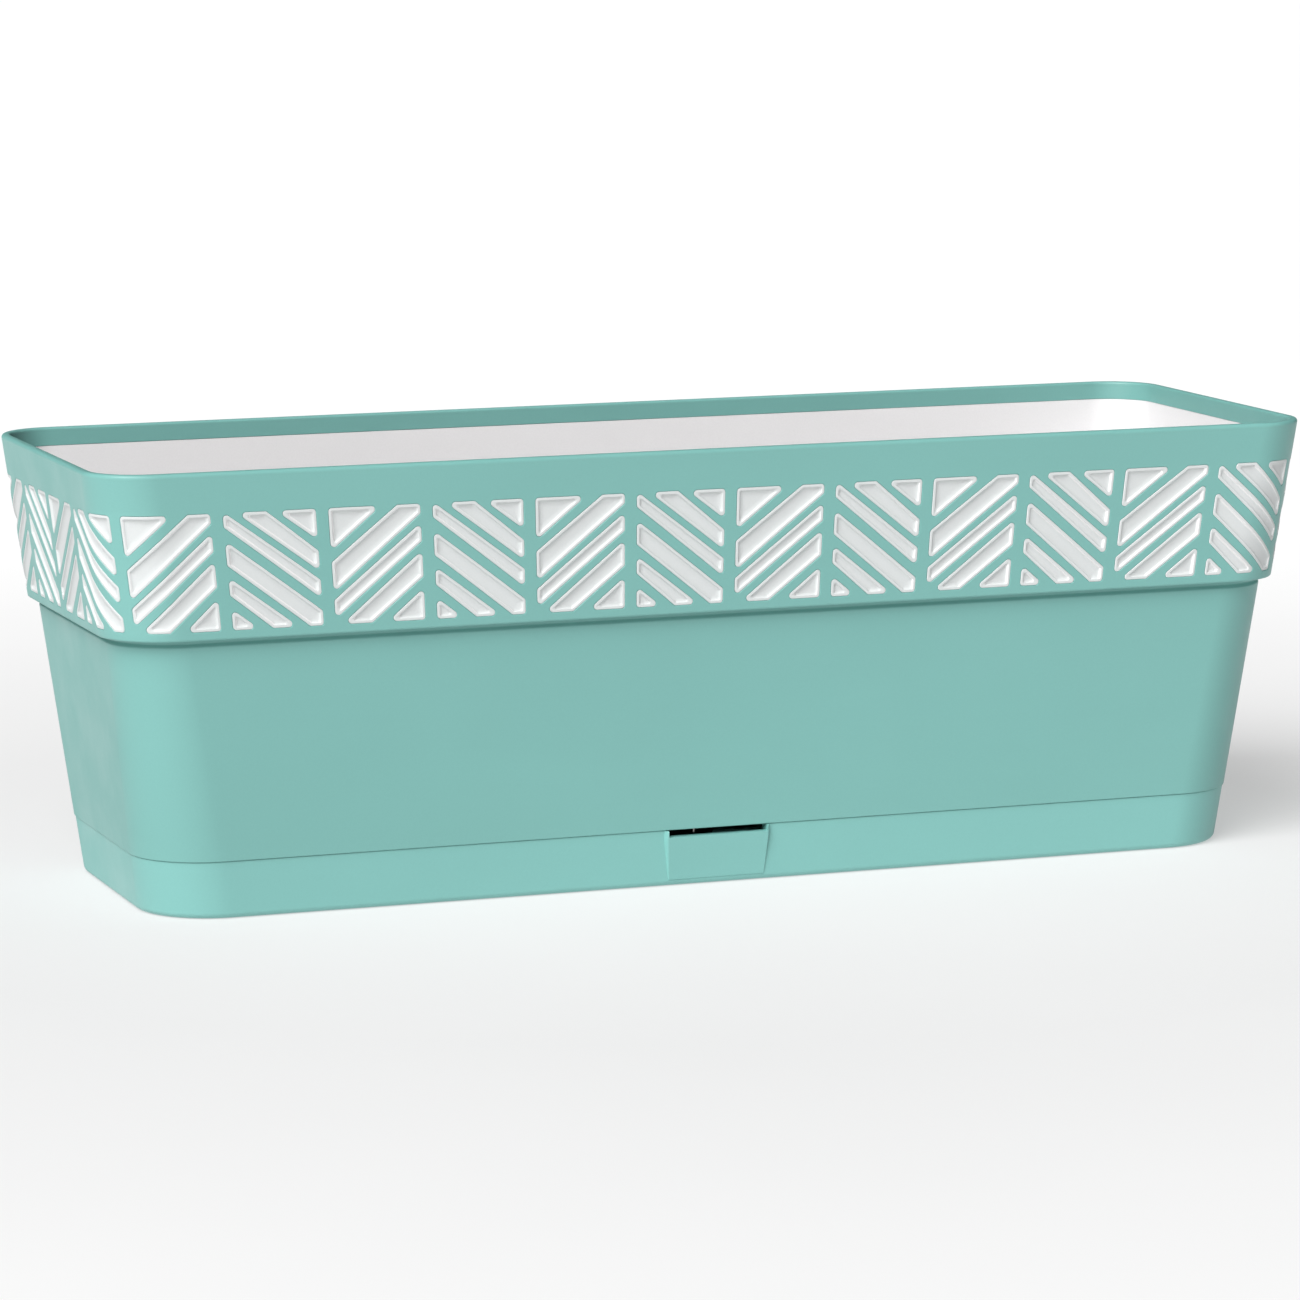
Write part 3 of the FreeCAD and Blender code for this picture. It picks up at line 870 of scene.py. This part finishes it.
def bump_node(nt, height, strength, dist, chain=None):
    b = nt.nodes.new("ShaderNodeBump")
    b.inputs["Strength"].default_value = strength
    b.inputs["Distance"].default_value = dist
    nt.links.new(height, b.inputs["Height"])
    if chain is not None:
        nt.links.new(chain, b.inputs["Normal"])
    return b.outputs["Normal"]


def tint(c, f, w=0.0):
    return tuple(max(0.0, min(1.0, v * f + w)) for v in c)


def moulded_plastic(name, col, rough=(0.36, 0.50), grain=1.0, spread=0.035, specular=0.5, flow=True, painted_shade_outside=None):
    """Satin injection-moulded plastic: faint flow marks and tone drift, a fine
    spark-eroded grain, and a gloss that isn't quite even."""
    m, nt, b, tc = new_material(name)
    src = tc.outputs["Object"]
    drift = noise_node(nt, src, 7.0, 3.0, 0.5)
    c1 = ramp_node(nt, drift, [(0.25, tint(col, 1 - spread)), (0.5, col), (0.75, tint(col, 1 + spread, spread * 0.02))])
    if flow:
        fl = noise_node(nt, src, 1.0, 4.0, 0.6, 3.1, (9.0, 9.0, 46.0))
        mx = nt.nodes.new("ShaderNodeMix")
        mx.data_type = "RGBA"
        mx.blend_type = "MULTIPLY"
        mx.inputs["Factor"].default_value = 1.0
        nt.links.new(c1, mx.inputs["A"])
        nt.links.new(ramp_node(nt, fl, [(0.3, (0.985, 0.985, 0.985)), (0.7, (1.0, 1.0, 1.0))]), mx.inputs["B"])
        c1 = mx.outputs["Result"]
    speck = noise_node(nt, src, 1500.0, 2.0, 0.6, 1.7)
    mx = nt.nodes.new("ShaderNodeMix")
    mx.data_type = "RGBA"
    mx.blend_type = "MULTIPLY"
    mx.inputs["Factor"].default_value = 1.0
    nt.links.new(c1, mx.inputs["A"])
    nt.links.new(ramp_node(nt, speck, [(0.3, (0.97, 0.97, 0.97)), (0.7, (1.0, 1.0, 1.0))]), mx.inputs["B"])
    c1 = mx.outputs["Result"]
    if painted_shade_outside:
        # painted shade: faces that look away from the object's middle, the white islands in the band's windows, are
        # darkened to stand in for the shade in their dished recesses
        flat = nt.nodes.new("ShaderNodeVectorMath")
        flat.operation = "MULTIPLY"
        nt.links.new(src, flat.inputs[0])
        flat.inputs[1].default_value = (1.0, 1.0, 0.0)
        dot = nt.nodes.new("ShaderNodeVectorMath")
        dot.operation = "DOT_PRODUCT"
        nt.links.new(flat.outputs["Vector"], dot.inputs[0])
        nt.links.new(tc.outputs["Normal"], dot.inputs[1])
        mask = map_node(nt, dot.outputs["Value"], 0.0, 1.0, 0.0, 0.03)
        mx = nt.nodes.new("ShaderNodeMix")
        mx.data_type = "RGBA"
        mx.blend_type = "MULTIPLY"
        mx.inputs["Factor"].default_value = 1.0
        nt.links.new(c1, mx.inputs["A"])
        nt.links.new(ramp_node(nt, mask, [(0.0, (1.0, 1.0, 1.0)), (1.0, painted_shade_outside)]), mx.inputs["B"])
        c1 = mx.outputs["Result"]
    nt.links.new(c1, b.inputs["Base Color"])
    patches = noise_node(nt, src, 38.0, 3.0, 0.55, 5.0)
    nt.links.new(map_node(nt, patches, rough[0], rough[1]), b.inputs["Roughness"])
    b.inputs["Specular IOR Level"].default_value = specular
    fine = noise_node(nt, src, 1700.0, 2.0, 0.6, 2.3)
    mid = noise_node(nt, src, 420.0, 3.0, 0.5, 8.3)
    wave = noise_node(nt, src, 16.0, 1.0, 0.4, 4.4)
    nrm = bump_node(nt, wave, 0.10, 0.002)
    nrm = bump_node(nt, mid, 0.10 * grain, 0.0002, nrm)
    nrm = bump_node(nt, fine, 0.16 * grain, 0.00012, nrm)
    nt.links.new(nrm, b.inputs["Normal"])
    return m


def felt_material(name, col):
    m, nt, b, tc = new_material(name)
    src = tc.outputs["Object"]
    a = noise_node(nt, src, 260.0, 6.0, 0.7, 0.0, (1.0, 3.2, 1.0))
    c = noise_node(nt, src, 260.0, 6.0, 0.7, 4.0, (3.2, 1.0, 1.0))
    mx = nt.nodes.new("ShaderNodeMath")
    mx.operation = "ADD"
    nt.links.new(a, mx.inputs[0])
    nt.links.new(c, mx.inputs[1])
    nt.links.new(ramp_node(nt, map_node(nt, mx.outputs[0], 0.0, 1.0, 0.7, 1.3), [(0.2, tint(col, 0.72)), (0.55, col), (0.85, tint(col, 1.2))]), b.inputs["Base Color"])
    b.inputs["Roughness"].default_value = 0.95
    b.inputs["Sheen Weight"].default_value = 0.25
    nt.links.new(bump_node(nt, mx.outputs[0], 0.7, 0.0006), b.inputs["Normal"])
    return m


def foam_material(name, col):
    m, nt, b, tc = new_material(name)
    src = tc.outputs["Object"]
    v = nt.nodes.new("ShaderNodeTexVoronoi")
    v.inputs["Scale"].default_value = 520.0
    nt.links.new(src, v.inputs["Vector"])
    n = noise_node(nt, src, 90.0, 3.0)
    nt.links.new(ramp_node(nt, n, [(0.3, tint(col, 0.93)), (0.7, col)]), b.inputs["Base Color"])
    nt.links.new(map_node(nt, v.outputs["Distance"], 0.55, 0.8, 0.0, 0.7), b.inputs["Roughness"])
    nt.links.new(bump_node(nt, v.outputs["Distance"], 0.35, 0.0003), b.inputs["Normal"])
    return m


def clear_material(name):
    m, nt, b, tc = new_material(name)
    src = tc.outputs["Object"]
    n = noise_node(nt, src, 60.0, 4.0)
    nt.links.new(ramp_node(nt, n, [(0.3, (0.90, 0.94, 0.94)), (0.7, (0.97, 0.99, 0.99))]), b.inputs["Base Color"])
    nt.links.new(map_node(nt, n, 0.05, 0.12), b.inputs["Roughness"])
    b.inputs["Transmission Weight"].default_value = 0.92
    b.inputs["IOR"].default_value = 1.47
    nt.links.new(bump_node(nt, noise_node(nt, src, 500.0, 2.0), 0.06, 0.0001), b.inputs["Normal"])
    return m


TURQ = (0.189, 0.438, 0.405)
# painted light: the tray's turquoise is the pot's plastic made about a tenth lighter, standing in for light bounced up
# from the floor
TRAY_TURQ_PAINTED_BOUNCE = (0.209, 0.486, 0.452)
WHITE = (0.875, 0.860, 0.864)
MAT = {
    "turquoise": moulded_plastic("satin_turquoise", TURQ),
    "tray_turquoise": moulded_plastic("satin_turquoise_tray_painted_bounce", TRAY_TURQ_PAINTED_BOUNCE),
    # painted shade: the white's outward faces are multiplied by (0.74, 0.78, 0.775) to stand in for the shade in the
    # window recesses
    "white": moulded_plastic("satin_white_outer_painted_shade", WHITE, rough=(0.38, 0.52), spread=0.015, painted_shade_outside=(0.74, 0.78, 0.775)),
    "black_plastic": moulded_plastic("matt_black", (0.022, 0.023, 0.024), rough=(0.42, 0.62), grain=1.6, spread=0.25),
    "felt": felt_material("wick_felt", (0.50, 0.49, 0.46)),
    "float_foam": foam_material("float_foam", (0.80, 0.79, 0.75)),
    "indicator_red": moulded_plastic("gloss_red", (0.58, 0.025, 0.02), rough=(0.16, 0.26), grain=0.4, spread=0.05, flow=False),
    "clear_plastic": clear_material("clear_cap"),
}
skin.data.materials.append(MAT["turquoise"])
inner.data.materials.append(MAT["white"])
# the tray gets the lighter turquoise copy that carries painted bounce light
tray.data.materials.clear()
tray.data.materials.append(MAT["tray_turquoise"])
SLOTS = {"separator_plate": "black_plastic", "wick_cup_left": "black_plastic", "wick_cup_middle": "black_plastic", "wick_cup_right": "black_plastic",
         "wick_felt_left": "felt", "wick_felt_middle": "felt", "wick_felt_right": "felt", "gauge_tube": "black_plastic",
         "gauge_float": "float_foam", "gauge_stem": "indicator_red", "gauge_cap": "clear_plastic"}
for node, slot_name in SLOTS.items():
    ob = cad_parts[node]
    if not ob.material_slots:
        ob.data.materials.append(MAT[slot_name])
    for s_ in ob.material_slots:
        s_.material = MAT[slot_name]

# ---- floor, light, camera -------------------------------------------------------------
def floor_material():
    m, nt, b, tc = new_material("pale_floor")
    src = tc.outputs["Object"]
    n = noise_node(nt, src, 3.0, 4.0)
    nt.links.new(ramp_node(nt, n, [(0.3, (0.36, 0.36, 0.36)), (0.7, (0.375, 0.375, 0.375))]), b.inputs["Base Color"])
    nt.links.new(map_node(nt, n, 0.8, 0.95), b.inputs["Roughness"])
    b.inputs["Specular IOR Level"].default_value = 0.1
    b.inputs["Emission Color"].default_value = (1.0, 1.0, 1.0, 1.0)
    # the sweep glows faintly away from the object, as a lit backdrop does
    ln = nt.nodes.new("ShaderNodeVectorMath")
    ln.operation = "LENGTH"
    nt.links.new(src, ln.inputs[0])
    nt.links.new(map_node(nt, ln.outputs["Value"], 0.48, 0.66, 0.35, 1.0), b.inputs["Emission Strength"])
    return m


bm = bmesh.new()
bmesh.ops.create_grid(bm, x_segments=24, y_segments=24, size=20.0)
me = bpy.data.meshes.new("studio_floor")
bm.to_mesh(me)
bm.free()
floor = link_object("studio_floor", me)
floor.location.z = -0.0002
me.materials.append(floor_material())

world = bpy.data.worlds.new("studio")
bpy.context.scene.world = world
world.use_nodes = True
wn = world.node_tree
bg = wn.nodes["Background"]
bg.inputs["Strength"].default_value = 0.06
wt = wn.nodes.new("ShaderNodeTexCoord")
wsep = wn.nodes.new("ShaderNodeSeparateXYZ")
wn.links.new(wt.outputs["Generated"], wsep.inputs["Vector"])
side = map_node(wn, wsep.outputs["X"], 1.0, 0.28, -0.7, 0.7)
wn.links.new(ramp_node(wn, side, [(0.0, (0.0, 0.0, 0.0)), (1.0, (1.0, 1.0, 1.0))]), bg.inputs["Color"])


def sun(name, frm, strength, angle, color=(1, 1, 1)):
    d = bpy.data.lights.new(name, "SUN")
    d.energy = strength
    d.angle = math.radians(angle)
    d.color = color
    o = bpy.data.objects.new(name, d)
    bpy.context.scene.collection.objects.link(o)
    o.rotation_euler = Vector(frm).to_track_quat("Z", "Y").to_euler()
    return o


sun("key", (-1.2, -1.05, 1.65), 3.95, 42)
sun("fill", (-0.6, -1.5, 0.7), 0.55, 80)

cam_data = bpy.data.cameras.new("camera")
cam = bpy.data.objects.new("camera", cam_data)
bpy.context.scene.collection.objects.link(cam)
cam_data.sensor_width = 36.0
cam_data.lens = 153.936
cam_data.clip_start = 0.05
cam_data.clip_end = 200.0
right = Vector((0.94094239, -0.33853624, -0.00454157))
up = Vector((0.0558988, 0.14210961, 0.98827131))
fwd = Vector((0.33392025, 0.93016024, -0.15264073))
rot = Matrix((right, up, -fwd)).transposed()
cam.matrix_world = Matrix.Translation(Vector((-0.744932, -2.068531, 0.421668))) @ rot.to_4x4()
bpy.context.scene.camera = cam

scene = bpy.context.scene
scene.view_settings.view_transform = "Standard"
scene.view_settings.look = "None"
scene.view_settings.exposure = 0.0
scene.view_settings.gamma = 1.0

bpy.context.view_layer.update()
